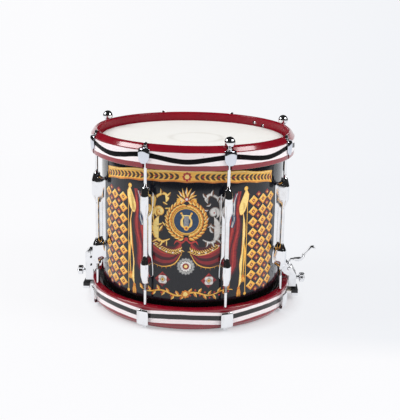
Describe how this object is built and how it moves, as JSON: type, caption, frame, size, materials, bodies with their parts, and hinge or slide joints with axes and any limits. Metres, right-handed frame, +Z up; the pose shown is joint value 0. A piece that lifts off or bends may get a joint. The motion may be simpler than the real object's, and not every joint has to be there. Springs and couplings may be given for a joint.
{
  "type": "field drum",
  "caption": "Rod-tensioned wooden field drum with painted shell, striped hoops, cast tube lugs, claw clips and a lever snare throw-off.",
  "frame": {"origin": "on the floor, under the middle of the drum's whole reach from the butt knob to the tip of the throw-off lever; the drum's own axis is at x = -0.00915", "axes": "+Z up along the drum's axis to the batter head, -Y towards the painted front, +X towards the snare throw-off"},
  "size_m": [0.483, 0.3968, 0.3652],
  "materials": {
    "shell_paint": "gloss varnish over painted ornament",
    "bare_ply": "sealed matt",
    "drum_skin": "coated film",
    "steel": "bright drawn",
    "hoop_lacquer": "gloss lacquer, crimson with white and black bands",
    "chrome_plate": "polished",
    "strap": "woven tape",
    "blackened_steel": "satin"
  },
  "bodies": {
    "drum": {"shell": "shell_paint", "reinforcing_ring_top": "bare_ply", "reinforcing_ring_bottom": "bare_ply", "batter_head": "drum_skin", "snare_head": "drum_skin", "batter_flesh_hoop": "steel", "snare_flesh_hoop": "steel", "top_counterhoop": "hoop_lacquer", "bottom_counterhoop": "hoop_lacquer", "lug_1": "chrome_plate", "lug_2": "chrome_plate", "lug_3": "chrome_plate", "lug_4": "chrome_plate", "lug_5": "chrome_plate", "lug_6": "chrome_plate", "lug_7": "chrome_plate", "lug_8": "chrome_plate", "top_clip_1": "chrome_plate", "top_clip_2": "chrome_plate", "top_clip_3": "chrome_plate", "top_clip_4": "chrome_plate", "top_clip_5": "chrome_plate", "top_clip_6": "chrome_plate", "top_clip_7": "chrome_plate", "top_clip_8": "chrome_plate", "bottom_clip_1": "chrome_plate", "bottom_clip_2": "chrome_plate", "bottom_clip_3": "chrome_plate", "bottom_clip_4": "chrome_plate", "bottom_clip_5": "chrome_plate", "bottom_clip_6": "chrome_plate", "bottom_clip_7": "chrome_plate", "bottom_clip_8": "chrome_plate", "snares": "steel", "strainer_bracket": "chrome_plate", "lever_pivot_pin": "chrome_plate", "butt_bracket": "chrome_plate", "butt_clamp": "blackened_steel"},
    "upper_rod_1": {"top_rod_1": "chrome_plate"},
    "upper_rod_2": {"top_rod_2": "chrome_plate"},
    "upper_rod_3": {"top_rod_3": "chrome_plate"},
    "upper_rod_4": {"top_rod_4": "chrome_plate"},
    "upper_rod_5": {"top_rod_5": "chrome_plate"},
    "upper_rod_6": {"top_rod_6": "chrome_plate"},
    "upper_rod_7": {"top_rod_7": "chrome_plate"},
    "upper_rod_8": {"top_rod_8": "chrome_plate"},
    "lower_rod_1": {"bottom_rod_1": "chrome_plate"},
    "lower_rod_2": {"bottom_rod_2": "chrome_plate"},
    "lower_rod_3": {"bottom_rod_3": "chrome_plate"},
    "lower_rod_4": {"bottom_rod_4": "chrome_plate"},
    "lower_rod_5": {"bottom_rod_5": "chrome_plate"},
    "lower_rod_6": {"bottom_rod_6": "chrome_plate"},
    "lower_rod_7": {"bottom_rod_7": "chrome_plate"},
    "lower_rod_8": {"bottom_rod_8": "chrome_plate"},
    "lever": {"throwoff_lever": "chrome_plate"},
    "carriage": {"strainer_carriage": "chrome_plate"},
    "adjuster": {"strainer_knob": "chrome_plate"},
    "snare_grip": {"strainer_clamp": "blackened_steel", "snare_strap": "strap"},
    "butt_screw": {"butt_knob": "chrome_plate"}
  },
  "joints": [
    {"name": "upper_rod_1_turn", "type": "hinge", "parent": "drum", "child": "upper_rod_1", "pos_m": [0.06471, -0.17831, 0.3], "axis": [0, 0, 1], "continuous": true},
    {"name": "upper_rod_2_turn", "type": "hinge", "parent": "drum", "child": "upper_rod_2", "pos_m": [0.16916, -0.07386, 0.3], "axis": [0, 0, 1], "continuous": true},
    {"name": "upper_rod_3_turn", "type": "hinge", "parent": "drum", "child": "upper_rod_3", "pos_m": [0.16916, 0.07386, 0.3], "axis": [0, 0, 1], "continuous": true},
    {"name": "upper_rod_4_turn", "type": "hinge", "parent": "drum", "child": "upper_rod_4", "pos_m": [0.06471, 0.17831, 0.3], "axis": [0, 0, 1], "continuous": true},
    {"name": "upper_rod_5_turn", "type": "hinge", "parent": "drum", "child": "upper_rod_5", "pos_m": [-0.083, 0.17831, 0.3], "axis": [0, 0, 1], "continuous": true},
    {"name": "upper_rod_6_turn", "type": "hinge", "parent": "drum", "child": "upper_rod_6", "pos_m": [-0.18745, 0.07386, 0.3], "axis": [0, 0, 1], "continuous": true},
    {"name": "upper_rod_7_turn", "type": "hinge", "parent": "drum", "child": "upper_rod_7", "pos_m": [-0.18745, -0.07386, 0.3], "axis": [0, 0, 1], "continuous": true},
    {"name": "upper_rod_8_turn", "type": "hinge", "parent": "drum", "child": "upper_rod_8", "pos_m": [-0.083, -0.17831, 0.3], "axis": [0, 0, 1], "continuous": true},
    {"name": "lower_rod_1_turn", "type": "hinge", "parent": "drum", "child": "lower_rod_1", "pos_m": [0.06471, -0.17831, 0.05], "axis": [0, 0, 1], "continuous": true},
    {"name": "lower_rod_2_turn", "type": "hinge", "parent": "drum", "child": "lower_rod_2", "pos_m": [0.16916, -0.07386, 0.05], "axis": [0, 0, 1], "continuous": true},
    {"name": "lower_rod_3_turn", "type": "hinge", "parent": "drum", "child": "lower_rod_3", "pos_m": [0.16916, 0.07386, 0.05], "axis": [0, 0, 1], "continuous": true},
    {"name": "lower_rod_4_turn", "type": "hinge", "parent": "drum", "child": "lower_rod_4", "pos_m": [0.06471, 0.17831, 0.05], "axis": [0, 0, 1], "continuous": true},
    {"name": "lower_rod_5_turn", "type": "hinge", "parent": "drum", "child": "lower_rod_5", "pos_m": [-0.083, 0.17831, 0.05], "axis": [0, 0, 1], "continuous": true},
    {"name": "lower_rod_6_turn", "type": "hinge", "parent": "drum", "child": "lower_rod_6", "pos_m": [-0.18745, 0.07386, 0.05], "axis": [0, 0, 1], "continuous": true},
    {"name": "lower_rod_7_turn", "type": "hinge", "parent": "drum", "child": "lower_rod_7", "pos_m": [-0.18745, -0.07386, 0.05], "axis": [0, 0, 1], "continuous": true},
    {"name": "lower_rod_8_turn", "type": "hinge", "parent": "drum", "child": "lower_rod_8", "pos_m": [-0.083, -0.17831, 0.05], "axis": [0, 0, 1], "continuous": true},
    {"name": "throwoff_lever_swing", "type": "hinge", "parent": "drum", "child": "lever", "pos_m": [0.19056, 0, 0.065], "axis": [0, 1, 0], "range_deg": [0, 50]},
    {"name": "carriage_slide", "type": "slide", "parent": "drum", "child": "carriage", "axis": [1, 0, 0], "range_m": [-0.0051, 0]},
    {"name": "adjuster_turn", "type": "hinge", "parent": "carriage", "child": "adjuster", "pos_m": [0.2, 0, 0.04397], "axis": [1, 0, 0], "range_deg": [-361, 721]},
    {"name": "snare_grip_slide", "type": "slide", "parent": "carriage", "child": "snare_grip", "axis": [1, 0, 0], "range_m": [-0.001, 0.002]},
    {"name": "butt_screw_turn", "type": "hinge", "parent": "drum", "child": "butt_screw", "pos_m": [-0.22, 0, 0.04397], "axis": [1, 0, 0], "range_deg": [-360, 360]}
  ],
  "couplings": [
    {"joint": "carriage_slide", "follows": "throwoff_lever_swing", "m_per_rad": -0.00573},
    {"joint": "adjuster_turn", "follows": "snare_grip_slide", "rad_per_m": 6283.2}
  ]
}
